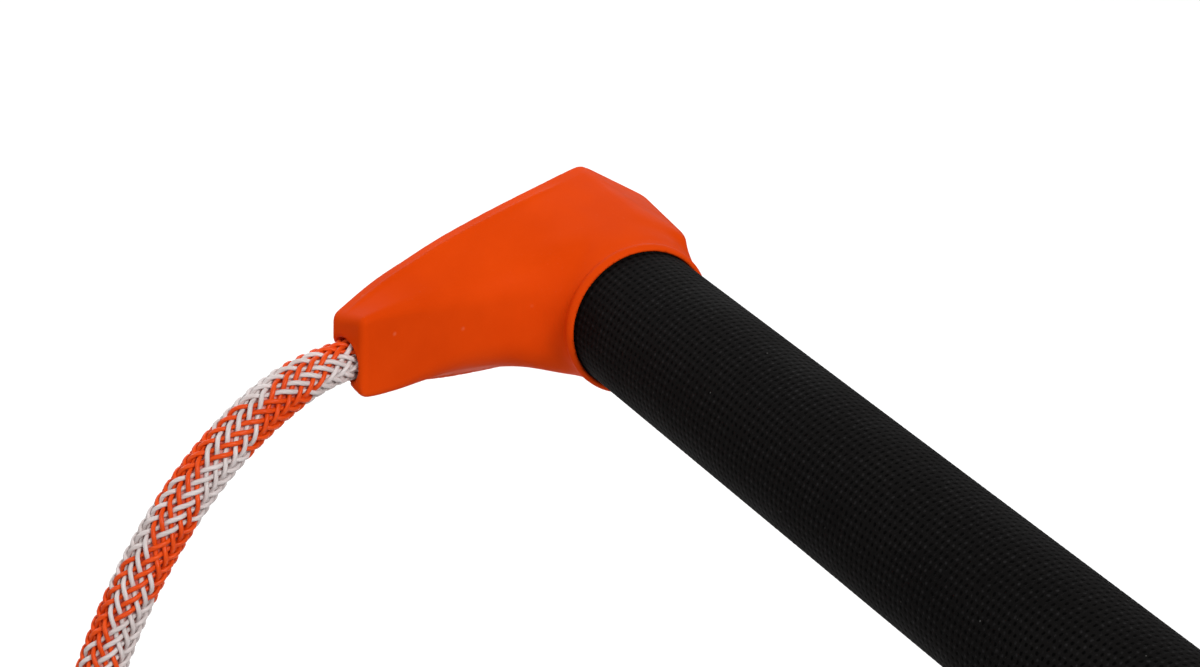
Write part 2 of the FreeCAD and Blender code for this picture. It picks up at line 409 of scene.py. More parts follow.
# Flat faces: a point of each, and its outward direction. The bevel is the same above and below
TIP_PLANE = ((-168.7, -60.3, 0.0), (0.172, -0.985, 0.0))
BACK_PLANE = ((-BAR_HALF, 20.3, 0.0), (0.2, 0.98, 0.0))
REAR_BEVEL = ((-BAR_HALF, 4.9, 19.4), (0.02, 0.521, 0.853))
# Along the barrel: x, then its radius in front and how much more it has behind
BARREL_X = (-190.5, -178.0, -170.0, -164.0, -159.0, -156.5, -153.5)
BARREL_RADIUS = (18.2, 17.4, 16.9, 16.5, 15.9, 15.5, 15.3)
SHOULDER = (1.0, 2.4, 2.3, 1.4, 0.6, 0.1, 0.0)
LIP_PLACE = (-154.85, 14.5)     # x and radius of the middle of the rim's rolled lip
LIP_RADIUS = 1.35
END_BULGE = 4.2                 # how far the barrel stands out of the swept outboard face
END_BULGE_HALF_HEIGHT = 14.0
CREASE = 1.2                    # blend between the barrel and the nose
VALLEY_BLEND = 8.0              # how much wider that blend is in the valley
STRIP_BLEND, TIP_BLEND, BACK_BLEND, END_BLEND, LIP_BLEND = 1.0, 1.6, 2.0, 2.0, 0.35
# Bores, along the bar's axis and then the rope's hole: radius, start, end, how rounded the edge is
GRIP_SEAT = (14.55, RIM_X - 3.0, math.inf, 1.0)
TUBE_SEAT = (11.15, -187.2, math.inf, 0.5)
ROPE_HOLE = (4.45, 0.0, math.inf, 1.0)
BUSH_SEAT = (7.75, 0.0, 13.0, 0.5)
KNOT_SEAT = (8.2, -13.6, 0.0, 0.5)
CAP_BOX = np.array([(-192.0, -62.5, -20.5), (-151.5, 22.0, 20.5)])
CELL = 0.6
REFINEMENTS = 3
GRADIENT_REACH = 0.02


def profile(y, knots, values):
    """A smooth curve through the knots."""
    knots, values = np.asarray(knots, float), np.asarray(values, float)
    slopes = np.gradient(values, knots)
    y = np.clip(y, knots[0], knots[-1])
    i = np.clip(np.searchsorted(knots, y) - 1, 0, len(knots) - 2)
    span = knots[i + 1] - knots[i]
    t = (y - knots[i]) / span
    return (
        values[i] * (1 + 2 * t) * (1 - t) ** 2
        + values[i + 1] * t * t * (3 - 2 * t)
        + span * slopes[i] * t * (1 - t) ** 2
        - span * slopes[i + 1] * t * t * (1 - t)
    )


def smooth_max(a, b, width):
    """The larger of two distances, blended where they differ by less than width."""
    share = np.clip(0.5 + 0.5 * (a - b) / width, 0, 1)
    return b + (a - b) * share + width * share * (1 - share)


def smooth_min(a, b, width):
    return -smooth_max(-a, -b, width)


def ramp(value, start, length):
    """From 0 at start to 1 at the end of the length."""
    return np.clip((value - start) / length, 0, 1)


def smooth_step(share):
    """A share from 0 to 1, eased at both ends."""
    share = np.clip(share, 0, 1)
    return share * share * (3 - 2 * share)


def past_plane(plane, x, y, high=0.0):
    """Distance in front of a plane given by a point and its outward direction."""
    point, out = plane
    return (x - point[0]) * out[0] + (y - point[1]) * out[1] + (high - point[2]) * out[2]


def outboard_face(y):
    """Where the cap's outboard face is: square to the bar behind, swept inboard along the nose."""
    return -BAR_HALF + np.maximum(SWEEP_START - y, 0) * NOSE_SWEEP


def nose_field(x, y, z):
    """Distance outside the faceted body, negative inside it."""
    high = np.abs(z)
    outboard_x = outboard_face(y)
    inboard_x = profile(y, NOSE_Y, INBOARD_X)
    edge = profile(y, NOSE_Y, EDGE_HEIGHT)
    strip = profile(y, NOSE_Y, STRIP_HEIGHT)
    ridge = profile(y, NOSE_Y, RIDGE_HEIGHT)
    strip_x = outboard_x + STRIP_WIDTH
    slope = (ridge - strip) / (inboard_x - strip_x)
    # The bead fades out towards the bar and at the tip
    fade = ramp(-y, 2.0, 10.0) * ramp(y, NOSE_Y[0], 5.0)
    bead = BEAD * fade * np.exp(-((x - strip_x) / BEAD_WIDTH) ** 2)
    strip_top = edge + (x - outboard_x) * (strip - edge) / STRIP_WIDTH
    facet_top = strip + (x - strip_x) * slope
    share = smooth_step((x - strip_x) / FACET_TURN + 0.5)
    top = (high - bead - strip_top + (strip_top - facet_top) * share) / np.hypot(1, slope)
    body = smooth_max(top, (outboard_x - x) * SWEPT_SCALE, STRIP_BLEND)
    body = smooth_max(body, (x - inboard_x) * 0.98, profile(y, NOSE_Y, EDGE_SOFTNESS))
    body = smooth_max(body, past_plane(TIP_PLANE, x, y), TIP_BLEND)
    return smooth_max(body, past_plane(BACK_PLANE, x, y), BACK_BLEND)


def barrel_field(x, y, z):
    """Distance outside the part round the bar, with a fuller shoulder behind and a rounded lip."""
    round_bar = np.hypot(y, z)
    behind = smooth_step((y / np.maximum(round_bar, 1.0) + 0.2) / 0.85)
    radius = profile(x, BARREL_X, BARREL_RADIUS) + behind * profile(x, BARREL_X, SHOULDER)
    barrel = smooth_max((round_bar - radius) * 0.97, x - RIM_X - 0.3, 1.0)
    lip = np.hypot(x - LIP_PLACE[0], round_bar - LIP_PLACE[1]) - LIP_RADIUS
    barrel = smooth_min(barrel, lip, LIP_BLEND)
    bulge = END_BULGE * np.maximum(1 - (z / END_BULGE_HALF_HEIGHT) ** 2, 0)
    outboard_x = np.maximum(outboard_face(y) - bulge, -BAR_HALF)
    return smooth_max(barrel, (outboard_x - x) * SWEPT_SCALE, END_BLEND)


def cap_field(points):
    """Distance outside the moulded cap with its bores, in mm, negative inside the plastic."""
    x, y, z = points[..., 0], points[..., 1], points[..., 2]
    # The crease widens into a valley along the nose, on its inboard side
    valley = ramp(-y, 6.0, 16.0) * ramp(x, -176.0, 12.0)
    cap = smooth_min(nose_field(x, y, z), barrel_field(x, y, z), CREASE + VALLEY_BLEND * valley)
    cap = smooth_max(cap, past_plane(REAR_BEVEL, x, y, np.abs(z)), CREASE)
    foot, way = np.array(HOLE_FOOT) / MM, np.array(HOLE_WAY)
    along_hole = (points - foot) @ way
    off_hole = np.linalg.norm(points - foot - along_hole[..., None] * way, axis=-1)
    bar, hole = (np.hypot(y, z), x), (off_hole, along_hole)
    bores = [(bar, GRIP_SEAT), (bar, TUBE_SEAT), (hole, ROPE_HOLE), (hole, BUSH_SEAT), (hole, KNOT_SEAT)]
    for (off_line, along), (radius, start, end, rounding) in bores:
        hollow = np.maximum(off_line - radius, np.maximum(start - along, along - end))
        cap = smooth_max(cap, -hollow, rounding)
    return cap


def surface_net(values):
    """Points, in cells, and quads of the surface where a sampled field is zero."""
    inside = values < 0
    shape = np.array(values.shape) - 1
    total = np.zeros((*shape, 3))
    count = np.zeros(shape)
    axes = np.eye(3, dtype=int)
    for axis in range(3):
        first, second = axes[(axis + 1) % 3], axes[(axis + 2) % 3]
        for start in (0 * first, first, second, first + second):
            low = values[tuple(slice(s, s + n) for s, n in zip(start, shape))]
            high = values[tuple(slice(s, s + n) for s, n in zip(start + axes[axis], shape))]
            crossed = (low < 0) != (high < 0)
            share = low[crossed] / (low[crossed] - high[crossed])
            total[crossed] += start + share[:, None] * axes[axis]
            count[crossed] += 1
    used = count > 0
    index = np.full(shape, -1)
    index[used] = np.arange(used.sum())
    points = np.argwhere(used) + total[used] / count[used, None]
    quads = []
    for axis in range(3):
        first, second = axes[(axis + 1) % 3], axes[(axis + 2) % 3]
        begin = first + second
        size = shape - begin
        low = inside[tuple(slice(b, b + n) for b, n in zip(begin, size))]
        high = inside[tuple(slice(b, b + n) for b, n in zip(begin + axes[axis], size))]
        for wall, order in ((low & ~high, (0, 1, 2, 3)), (~low & high, (3, 2, 1, 0))):
            cell = np.argwhere(wall) + begin
            around = [cell - first - second, cell - second, cell, cell - first]
            corners = [index[tuple(around[k].T)] for k in order]
            quads.append(np.stack(corners, axis=1))
    return points, np.concatenate(quads)


def gradient(field, points):
    """Which way a field grows, and how fast, at each point."""
    slopes = []
    for step in GRADIENT_REACH * np.eye(3):
        slopes.append((field(points + step) - field(points - step)) / (2 * GRADIENT_REACH))
    return np.stack(slopes, axis=-1)


def make_caps():
    """Both caps, from the left one's surface. Its points are moved onto the exact surface in steps."""
    low, high = CAP_BOX
    counts = np.ceil((high - low) / CELL).astype(int) + 1
    axes = [low[k] + CELL * np.arange(counts[k]) for k in range(3)]
    values = cap_field(np.stack(np.meshgrid(*axes, indexing="ij"), axis=-1))
    points, quads = surface_net(values)
    points = low + points * CELL
    for _ in range(REFINEMENTS):
        slope = gradient(cap_field, points)
        size = np.maximum((slope**2).sum(axis=1), 0.25)
        step = -(cap_field(points) / size)[:, None] * slope
        points = points + np.clip(step, -CELL / 2, CELL / 2)
    normals = unit(gradient(cap_field, points))
    plastic = cap_plastic()
    for name, flip in (("left", 1), ("right", -1)):
        scale = np.array((flip, 1, 1))
        faces = quads if flip == 1 else quads[:, ::-1]
        replaced = [f"end_cap_{name}"]
        cap = make_piece(f"cap_{name}", points * scale * MM, faces, [plastic], replaced)
        cap.data.normals_split_custom_set_from_vertices((normals * scale).tolist())


# ---------------------------------------------------------------- grip
GRIP_RADIUS = 14.5 * MM
GRIP_BORE = 11.15 * MM
GRIP_HALF = 156.5 * MM
PITS_ROUND = 56
PIT_PITCH = 1.665 * MM        # along the bar
STEPS_PER_PIT = 3
PIT_DEPTH = 0.10 * MM
PIT_SHAPE = (0.0, 0.25, 1.0)  # depth between pits, on the line of a row or column, and in a pit


def make_grip():
    """A sleeve whose outside has rows of tiny pits."""
    around = PITS_ROUND * STEPS_PER_PIT
    rings = round(2 * GRIP_HALF / PIT_PITCH) * STEPS_PER_PIT + 1
    angle = np.arange(around) * 2 * math.pi / around
    ring_index, angle_index = np.meshgrid(np.arange(rings), np.arange(around), indexing="ij")
    near = (ring_index % STEPS_PER_PIT == 0).astype(int) + (angle_index % STEPS_PER_PIT == 0)
    outside = GRIP_RADIUS - PIT_DEPTH * np.array(PIT_SHAPE)[near]
    bore = np.full((1, around), GRIP_BORE)
    # From the bore's left end over the outside to its right end; the last faces join the two
    radius = np.concatenate([bore, outside, bore])
    x = np.concatenate([[-GRIP_HALF], np.linspace(-GRIP_HALF, GRIP_HALF, rings), [GRIP_HALF]])
    along = np.broadcast_to(x[:, None], radius.shape)
    points = np.stack([along, radius * np.cos(angle), radius * np.sin(angle)], axis=-1).reshape(-1, 3)
    faces = grid_faces(len(radius) + 1, around, True)[:, ::-1] % len(points)
    make_piece("grip", points, faces, [grip_rubber()], ["grip_sleeve"])


# ---------------------------------------------------------------- hank strap and eye whipping
STRAP_WIDTH = 24.0 * MM
STRAP_LAYER = 0.85 * MM
BUNDLE_HALF_WIDTH = 30.0 * MM
BUNDLE_HALF_DEPTH = 10.9 * MM
BUNDLE_CORNER = 5.6 * MM
CORNER_STEPS = 24
EDGE_STEPS = 3                  # of the rounding on each edge of the webbing
LOOP_STEPS = 120
FLAP_START = -12.0 * MM
FLAP_END = 21.0 * MM
FLAP_STEPS = 28
FLAP_GAP = 0.10 * MM
FLAP_TIP = 0.88                 # where the flap starts to narrow, from 0 to 1 along it
FLAP_NARROWING = 0.35
LIFT_START = 0.8                # where its free end starts to stand off
FLAP_LIFT = 1.5 * MM
STITCH_BOX = (2.0 * MM, 13.0 * MM)      # where the sewn box starts and ends along the flap
STITCH_MARGIN = 3.0 * MM                # from the webbing's edge to the box
STITCH_PITCH = 2.4 * MM
STITCH_LENGTH = 1.7 * MM
STITCH_RADIUS = 0.22 * MM
STITCH_STEPS, STITCH_SIDES = 5, 5
STITCH_SEAT = 0.02 * MM                 # from the flap's face out to a flat stitch's middle
STITCH_HEIGHT = 0.10 * MM
STITCH_DIP = 0.30 * MM


def rounded_loop(half_width, half_depth, radius, count):
    """Points and outward directions, evenly round a rounded rectangle, from the middle of -Y."""
    angle = np.radians(np.linspace(-90, 270, 4 * CORNER_STEPS + 1))
    outward = np.stack([np.cos(angle), np.sin(angle)], axis=1)
    corner = np.minimum(np.arange(len(angle)) // CORNER_STEPS, 3)
    middles = np.array([(1, -1), (1, 1), (-1, 1), (-1, -1)]) * (half_width - radius, half_depth - radius)
    places = middles[corner] + radius * outward
    start = np.array([(0.0, -half_depth)])
    places = np.concatenate([start, places, start])
    outward = np.concatenate([outward[:1], outward, outward[:1]])
    at = np.concatenate([[0], np.cumsum(np.linalg.norm(np.diff(places, axis=0), axis=1))])
    even = np.linspace(0, at[-1], count, endpoint=False)
    loop = np.stack([np.interp(even, at, places[:, k]) for k in range(2)], axis=1)
    away = np.stack([np.interp(even, at, outward[:, k]) for k in range(2)], axis=1)
    return loop, unit(away)


def band_section(width, thickness):
    """A flat band's section with rounded edges: (along Z, outward) pairs."""
    half, radius = width / 2 - thickness / 2, thickness / 2
    points = []
    for centre, first in ((half, -90), (-half, 90)):
        for angle in np.radians(np.linspace(first, first + 180, EDGE_STEPS + 1)):
            points.append((centre + radius * math.cos(angle), radius * math.sin(angle)))
    return np.array(points)


def band(places, outward, section, closed):
    """Points and faces of a band along places in x and y, standing on edge about z = 0."""
    high, off = section.T
    flat = places[:, None] + outward[:, None] * off[:, None]
    points = np.stack([flat[..., 0], flat[..., 1], np.broadcast_to(high, flat.shape[:2])], axis=-1)
    points = points.reshape(-1, 3)
    if closed:
        return points, (grid_faces(len(places) + 1, len(section), True) % len(points)).tolist()
    return points, tube_faces(len(places), len(section))


def joined(parts):
    """Points and faces of several parts as one."""
    faces, count = [], 0
    for points, part_faces in parts:
        faces += [[index + count for index in face] for face in part_faces]
        count += len(points)
    return np.concatenate([points for points, _ in parts]), faces


def make_strap():
    """A hook-and-loop strap round the hank's waist, its flap pressed down over the front."""
    section = band_section(STRAP_WIDTH, STRAP_LAYER)
    half_layer = STRAP_LAYER / 2
    bundle = np.array((BUNDLE_HALF_WIDTH, BUNDLE_HALF_DEPTH, BUNDLE_CORNER))
    loop, outward = rounded_loop(*(bundle + half_layer), LOOP_STEPS)
    ring = band(loop, outward, section, True)
    flap_x = np.linspace(FLAP_START, FLAP_END, FLAP_STEPS)
    share = (flap_x - FLAP_START) / (FLAP_END - FLAP_START)
    lift = FLAP_LIFT * np.maximum(share - LIFT_START, 0)
    flap_y = -(BUNDLE_HALF_DEPTH + 1.5 * STRAP_LAYER + FLAP_GAP) - lift
    forward = np.tile((0.0, -1.0), (FLAP_STEPS, 1))
    flap = band(np.stack([flap_x, flap_y], axis=1), forward, section, False)
    tip = np.clip((share - FLAP_TIP) / (1 - FLAP_TIP), 0, 1)
    flap[0][:, 2] *= 1 - FLAP_NARROWING * np.repeat(tip**2, len(section))
    stitches = stitch_box()
    points, faces = joined([ring, flap, stitches])
    choice = [0] * (len(faces) - len(stitches[1])) + [1] * len(stitches[1])
    materials = [strap_webbing(), stitch_thread()]
    place = (0, HANK_Y, HANK_Z)
    return make_piece("strap", points + place, faces, materials, ["hank_strap"], choice)


def stitch_box():
    """Thread stitches in a box with a cross near the flap's sewn start."""
    y = -(BUNDLE_HALF_DEPTH + 2 * STRAP_LAYER + FLAP_GAP + STITCH_SEAT)
    left, right = [FLAP_START + along for along in STITCH_BOX]
    high = STRAP_WIDTH / 2 - STITCH_MARGIN
    corners = [(left, -high), (right, -high), (right, high), (left, high), (left, -high), (right, high)]
    stitches = []
    for start, end in [*zip(corners, corners[1:]), ((right, -high), (left, high))]:
        start, end = np.array(start), np.array(end)
        length = np.linalg.norm(end - start)
        number = round(length / STITCH_PITCH)
        way = (end - start) / length
        for index in range(number):
            stitches.append(stitch(start + way * length * (index + 0.5) / number, way, y))
    return joined(stitches)


def stitch(middle, way, y):
    """One stitch: a short thread that rises out of the webbing and dips back in."""
    cross = np.array((-way[1], way[0]))
    points = []
    for share in np.linspace(-1, 1, STITCH_STEPS):
        lift = STITCH_HEIGHT - STITCH_DIP * share**4
        for side in range(STITCH_SIDES):
            angle = 2 * math.pi * side / STITCH_SIDES
            spot = middle + way * share * STITCH_LENGTH / 2 + cross * STITCH_RADIUS * math.cos(angle)
            points.append((spot[0], y - lift - STITCH_RADIUS * math.sin(angle), spot[1]))
    return np.array(points), tube_faces(STITCH_STEPS, STITCH_SIDES)


NECK_HALF_SPACING = 4.95 * MM
WHIPPING_DROP = 5.0 * MM        # from the hank's underside down to the whipping
WHIPPING_LENGTH = 12.0 * MM
TWINE_RADIUS = 0.62 * MM
TWINE_PRESS = 0.9               # the twine sits this much of its radius off the rope
TWINE_TURNS = 9
TWINE_STEPS = 44                # in each turn
TWINE_SIDES = 7
TWINE_INSET = 0.8 * MM          # from each end of the whipping to the twine's middle
TWINE_WANDER = 0.015 * MM
TUCK_DEPTH = 0.8 * MM
TUCK_SHARE = 0.02               # of the twine, at each end
TWINE_SEED = 5


def make_whipping():
    """Waxed twine wound tightly round the two ropes of the eye's neck, its ends tucked under."""
    radius = FULLNESS * ROPE_DIAMETER / 2 + TWINE_RADIUS * TWINE_PRESS
    loop, outward = rounded_loop(NECK_HALF_SPACING + radius, radius, radius, TWINE_STEPS)
    steps = np.arange(TWINE_TURNS * TWINE_STEPS + 1)
    share = steps / steps[-1]
    from_end = np.minimum(share, 1 - share)
    tuck = TUCK_DEPTH * np.maximum(1 - from_end / TUCK_SHARE, 0)
    wander = np.random.default_rng(TWINE_SEED).normal(0, TWINE_WANDER, len(steps))
    down = TWINE_INSET + share * (WHIPPING_LENGTH - 2 * TWINE_INSET)
    around = outward[steps % TWINE_STEPS]
    flat = loop[steps % TWINE_STEPS] - around * tuck[:, None]
    centres = np.column_stack([flat, HANK_UNDERSIDE - WHIPPING_DROP - down + wander]) + (0, HANK_Y, 0)
    outs = np.column_stack([around, np.zeros(len(steps))])
    angle = np.linspace(-math.pi / 2, 1.5 * math.pi, TWINE_SIDES, endpoint=False)
    ring = np.stack([np.cos(angle), np.sin(angle)], axis=1) * TWINE_RADIUS
    points = tube_points(centres, outs, ring).reshape(-1, 3)
    faces = tube_faces(len(steps), TWINE_SIDES)
    return make_piece("whipping", points, faces, [waxed_twine()], ["eye_whipping"])


# ---------------------------------------------------------------- materials
class Surface:
    """A Principled material, with short ways to build node patterns in the object's own space."""

    def __init__(self, name, colour, roughness, **sockets):
        self.material = bpy.data.materials.new(name)
        self.material.use_nodes = True
        self.tree = self.material.node_tree
        self.shader = self.tree.nodes["Principled BSDF"]
        self.shader.inputs["Base Color"].default_value = (*colour, 1)
        self.shader.inputs["Roughness"].default_value = roughness
        for socket, value in sockets.items():
            self.shader.inputs[socket.replace("_", " ")].default_value = value
        self.place = self.add("ShaderNodeTexCoord").outputs["Object"]

    def add(self, kind, **settings):
        node = self.tree.nodes.new(kind)
        for key, value in settings.items():
            setattr(node, key, value)
        return node

    def join(self, source, target):
        if isinstance(source, (int, float)):
            target.default_value = source
        else:
            self.tree.links.new(source, target)

    def math(self, operation, first, second=0.0):
        node = self.add("ShaderNodeMath", operation=operation)
        self.join(first, node.inputs[0])
        self.join(second, node.inputs[1])
        return node.outputs[0]

    def noise(self, size, detail=3.0, rough=0.5, stretch=(1, 1, 1)):
        """Noise with features about size metres across, from 0 to 1."""
        spread = self.add("ShaderNodeMapping")
        spread.inputs["Scale"].default_value = stretch
        self.join(self.place, spread.inputs["Vector"])
        node = self.add("ShaderNodeTexNoise")
        self.join(spread.outputs[0], node.inputs["Vector"])
        node.inputs["Scale"].default_value = 1 / size
        node.inputs["Detail"].default_value = detail
        node.inputs["Roughness"].default_value = rough
        return node.outputs["Fac"]

    def spots(self, size, reach):
        """Small round specks, 1 at their middles."""
        node = self.add("ShaderNodeTexVoronoi")
        self.join(self.place, node.inputs["Vector"])
        node.inputs["Scale"].default_value = 1 / size
        away = self.math("DIVIDE", node.outputs["Distance"], reach)
        return self.math("SUBTRACT", 1.0, self.math("MINIMUM", away, 1.0))

    def between(self, value, low, high, out_low=0.0, out_high=1.0):
        node = self.add("ShaderNodeMapRange")
        self.join(value, node.inputs["Value"])
        limits = {"From Min": low, "From Max": high, "To Min": out_low, "To Max": out_high}
        for socket, number in limits.items():
            node.inputs[socket].default_value = number
        return node.outputs["Result"]

    def tint(self, value, dark, light):
        """Colour between dark and light, as value goes from 0 to 1."""
        node = self.add("ShaderNodeMix", data_type="RGBA")
        self.join(value, node.inputs[0])
        for index, colour in ((6, dark), (7, light)):
            if isinstance(colour, tuple):
                node.inputs[index].default_value = (*colour, 1)
            else:
                self.join(colour, node.inputs[index])
        return node.outputs[2]

    def colour(self, source):
        self.join(source, self.shader.inputs["Base Color"])

    def roughness(self, value, low, high):
        self.join(self.between(value, 0.0, 1.0, low, high), self.shader.inputs["Roughness"])

    def bump(self, height, depth, strength=1.0):
        """Relief from a height that goes from 0 to 1, depth metres deep; each call adds to the last."""
        node = self.add("ShaderNodeBump")
        node.inputs["Strength"].default_value = strength
        node.inputs["Distance"].default_value = depth
        self.join(height, node.inputs["Height"])
        before = self.shader.inputs["Normal"]
        if before.links:
            self.join(before.links[0].from_socket, node.inputs["Normal"])
        self.join(node.outputs["Normal"], before)

    def axes(self):
        split = self.add("ShaderNodeSeparateXYZ")
        self.join(self.place, split.inputs[0])
        return split.outputs

    def attribute(self, name):
        return self.add("ShaderNodeAttribute", attribute_name=name).outputs["Fac"]


def cap_plastic():
    """Orange moulded plastic: satin, faintly mottled, with fine scuffs."""
    s = Surface("cap_plastic", (0.70, 0.055, 0.002), 0.4, Specular_IOR_Level=0.008)
    flow = s.noise(0.018, 4.0)
    cloud = s.noise(0.0045, 3.0)
    base = s.tint(s.between(flow, 0.3, 0.7), (0.66, 0.050, 0.002), (0.74, 0.061, 0.003))
    scuffs = s.math("MULTIPLY", s.spots(0.006, 0.10), s.between(s.noise(0.012, 2.0), 0.52, 0.66))
    scratches = s.between(s.noise(0.0022, 2.0, 0.5, (1.0, 9.0, 9.0)), 0.71, 0.76, 0.0, 0.35)
    marks = s.math("MAXIMUM", scuffs, scratches)
    s.colour(s.tint(s.math("MULTIPLY", marks, 0.5), base, (0.80, 0.20, 0.10)))
    s.roughness(s.between(cloud, 0.3, 0.7), 0.42, 0.54)
    s.bump(s.noise(0.0011, 2.0), 0.012 * MM)
    s.bump(cloud, 0.05 * MM, 0.6)
    s.bump(marks, -0.03 * MM)
    return s.material


def grip_rubber():
    """Black rubber with rows of tiny pits, painted shade in the pits and painted highlights on the raised
    studs between them, and a few specks of dust.
    """
    s = Surface("grip_rubber", (0.005, 0.005, 0.005), 0.8, Specular_IOR_Level=0.03)
    x, y, z = s.axes()
    turn = s.math("ARCTAN2", z, y)
    rings = round(2 * GRIP_HALF / PIT_PITCH)
    sway = s.between(s.noise(0.0016, 2.0), 0.0, 1.0, -1.3, 1.3)
    drift = s.between(s.noise(0.0021, 2.0), 0.0, 1.0, -1.3, 1.3)
    along = s.math("MULTIPLY", s.math("ADD", x, GRIP_HALF), rings * math.pi / GRIP_HALF)
    row = s.math("COSINE", s.math("ADD", along, sway))
    column = s.math("COSINE", s.math("ADD", s.math("MULTIPLY", turn, PITS_ROUND), drift))
    deep = s.math("MULTIPLY", s.between(row, -1.0, 1.0), s.between(column, -1.0, 1.0))
    raised = s.math("MULTIPLY", s.between(row, 1.0, -1.0), s.between(column, 1.0, -1.0))
    # the pit mask drives the relief and also the painted shade below
    pits = s.between(deep, 0.35, 0.8)
    # raised specks between the pits: they drive the relief and also carry a painted highlight
    studs_and_highlights = s.math("MULTIPLY", s.between(raised, 0.45, 0.95), s.between(s.noise(0.0012, 1.0), 0.4, 0.65))
    worn = s.between(s.noise(0.02, 3.0), 0.35, 0.7)
    cloth = s.tint(worn, (0.0040, 0.0036, 0.0035), (0.0068, 0.0062, 0.0060))
    # painted highlight: the raised studs are coloured lighter, as if lit
    cloth = s.tint(studs_and_highlights, cloth, (0.0170, 0.0160, 0.0165))
    # painted shade: the pits are coloured near black, as if shaded
    cloth = s.tint(pits, cloth, (0.0008, 0.0007, 0.0007))
    dust = s.math("MULTIPLY", s.spots(0.0042, 0.05), s.between(s.noise(0.008, 1.0), 0.5, 0.55))
    s.colour(s.tint(s.math("MULTIPLY", dust, 0.55), cloth, (0.30, 0.29, 0.28)))
    s.roughness(worn, 0.72, 0.88)
    s.bump(s.math("SUBTRACT", studs_and_highlights, pits), 0.10 * MM)
    s.bump(s.noise(0.0004, 2.0), 0.03 * MM, 0.7)
    return s.material


def strand(name, dark, light):
    """A polyethylene yarn with fine twisted filaments."""
    s = Surface(name, light, 0.45, Specular_IOR_Level=0.2)
    run = s.math("MULTIPLY", s.attribute("strand_run"), 1 / (1.6 * MM))
    spiral = s.math("ADD", run, s.math("MULTIPLY", s.attribute("strand_round"), 3.0))
    threads = s.between(s.math("SINE", s.math("MULTIPLY", spiral, 2 * math.pi)), -1.0, 1.0)
    soil = s.between(s.noise(0.004, 3.0), 0.3, 0.7)
    base = s.tint(soil, dark, light)
    s.colour(s.tint(s.math("MULTIPLY", threads, 0.25), base, tuple(0.72 * part for part in dark)))
    s.roughness(threads, 0.33, 0.48)
    s.bump(threads, 0.045 * MM)
    s.bump(s.noise(0.0005, 2.0), 0.02 * MM, 0.6)
    return s.material


@functools.cache
def rope_materials():
    """White and orange yarns and the core's painted shade for the rope's hollow inside, made once."""
    white = strand("strand_white", (0.62, 0.54, 0.52), (0.76, 0.69, 0.68))
    orange = strand("strand_orange", (0.74, 0.062, 0.003), (0.86, 0.090, 0.008))
    # painted shade: the core tube stands in for the braid's shaded far strands, coloured darker than the
    # white yarn
    core = Surface("rope_inside_shade", (0.6, 0.12, 0.08), 0.7)
    # its blotches mix orange and pink at random
    blotch = core.between(core.noise(0.003, 3.0), 0.42, 0.58)
    core.colour(core.tint(blotch, (0.62, 0.050, 0.012), (0.74, 0.38, 0.34)))
    core.bump(core.noise(0.0006, 2.0), 0.1 * MM)
    return [white, orange, core.material]


def strap_webbing():
    """Black hook-and-loop webbing: ribs across, with short fuzz."""
    s = Surface("strap_webbing", (0.012, 0.012, 0.013), 0.85, Specular_IOR_Level=0.2, Sheen_Weight=0.35)
    x, y, z = s.axes()
    rib = s.math("SINE", s.math("MULTIPLY", z, 2 * math.pi / (1.1 * MM)))
    pick = s.math("SINE", s.math("MULTIPLY", s.math("ADD", x, y), 2 * math.pi / (0.9 * MM)))
    weave = s.between(s.math("MULTIPLY", rib, pick), -1.0, 1.0)
    fuzz = s.noise(0.0007, 4.0, 0.7)
    s.colour(s.tint(s.math("MULTIPLY", fuzz, weave), (0.006, 0.006, 0.007), (0.030, 0.030, 0.032)))
    s.roughness(fuzz, 0.75, 0.95)
    s.bump(weave, 0.12 * MM)
    s.bump(fuzz, 0.10 * MM, 0.8)
    return s.material


def twisted_thread(name, dark, light, pitch, depth):
    """Thread whose plies show as slanting lines."""
    s = Surface(name, light, 0.6, Sheen_Weight=0.15)
    x, y, z = s.axes()
    slant = s.math("ADD", s.math("ADD", x, y), s.math("MULTIPLY", z, 0.8))
    ply = s.between(s.math("SINE", s.math("MULTIPLY", slant, 2 * math.pi / pitch)), -1.0, 1.0)
    grain = s.noise(0.0004, 2.0)
    s.colour(s.tint(s.math("MULTIPLY", ply, grain), dark, light))
    s.roughness(ply, 0.45, 0.7)
    s.bump(ply, depth)
    return s.material


def waxed_twine():
    return twisted_thread("waxed_twine", (0.006, 0.006, 0.006), (0.035, 0.034, 0.032), 0.9 * MM, 0.12 * MM)


def stitch_thread():
    return twisted_thread("stitch_thread", (0.03, 0.03, 0.03), (0.10, 0.10, 0.10), 0.5 * MM, 0.04 * MM)


def drawn_aluminium():
    """Clear anodised tube with draw lines along the bar."""
    s = Surface("drawn_aluminium", (0.76, 0.77, 0.79), 0.3, Metallic=1.0)
    lines = s.noise(0.0006, 3.0, 0.6, (0.02, 1.0, 1.0))
    s.colour(s.tint(lines, (0.66, 0.67, 0.69), (0.84, 0.85, 0.87)))
    s.roughness(lines, 0.22, 0.42)
    s.bump(lines, 0.01 * MM)
    return s.material


def moulded_nylon():
    s = Surface("moulded_nylon", (0.02, 0.02, 0.022), 0.5)
    grain = s.noise(0.0008, 3.0)
    s.colour(s.tint(s.noise(0.006, 2.0), (0.014, 0.014, 0.016), (0.032, 0.032, 0.035)))
    s.roughness(grain, 0.4, 0.6)
    s.bump(grain, 0.03 * MM)
    return s.material


def bung_rubber():
    s = Surface("bung_rubber", (0.015, 0.015, 0.015), 0.8)
    grain = s.noise(0.0012, 4.0)
    s.colour(s.tint(grain, (0.009, 0.009, 0.009), (0.024, 0.023, 0.022)))
    s.roughness(grain, 0.7, 0.9)
    s.bump(grain, 0.06 * MM)
    return s.material


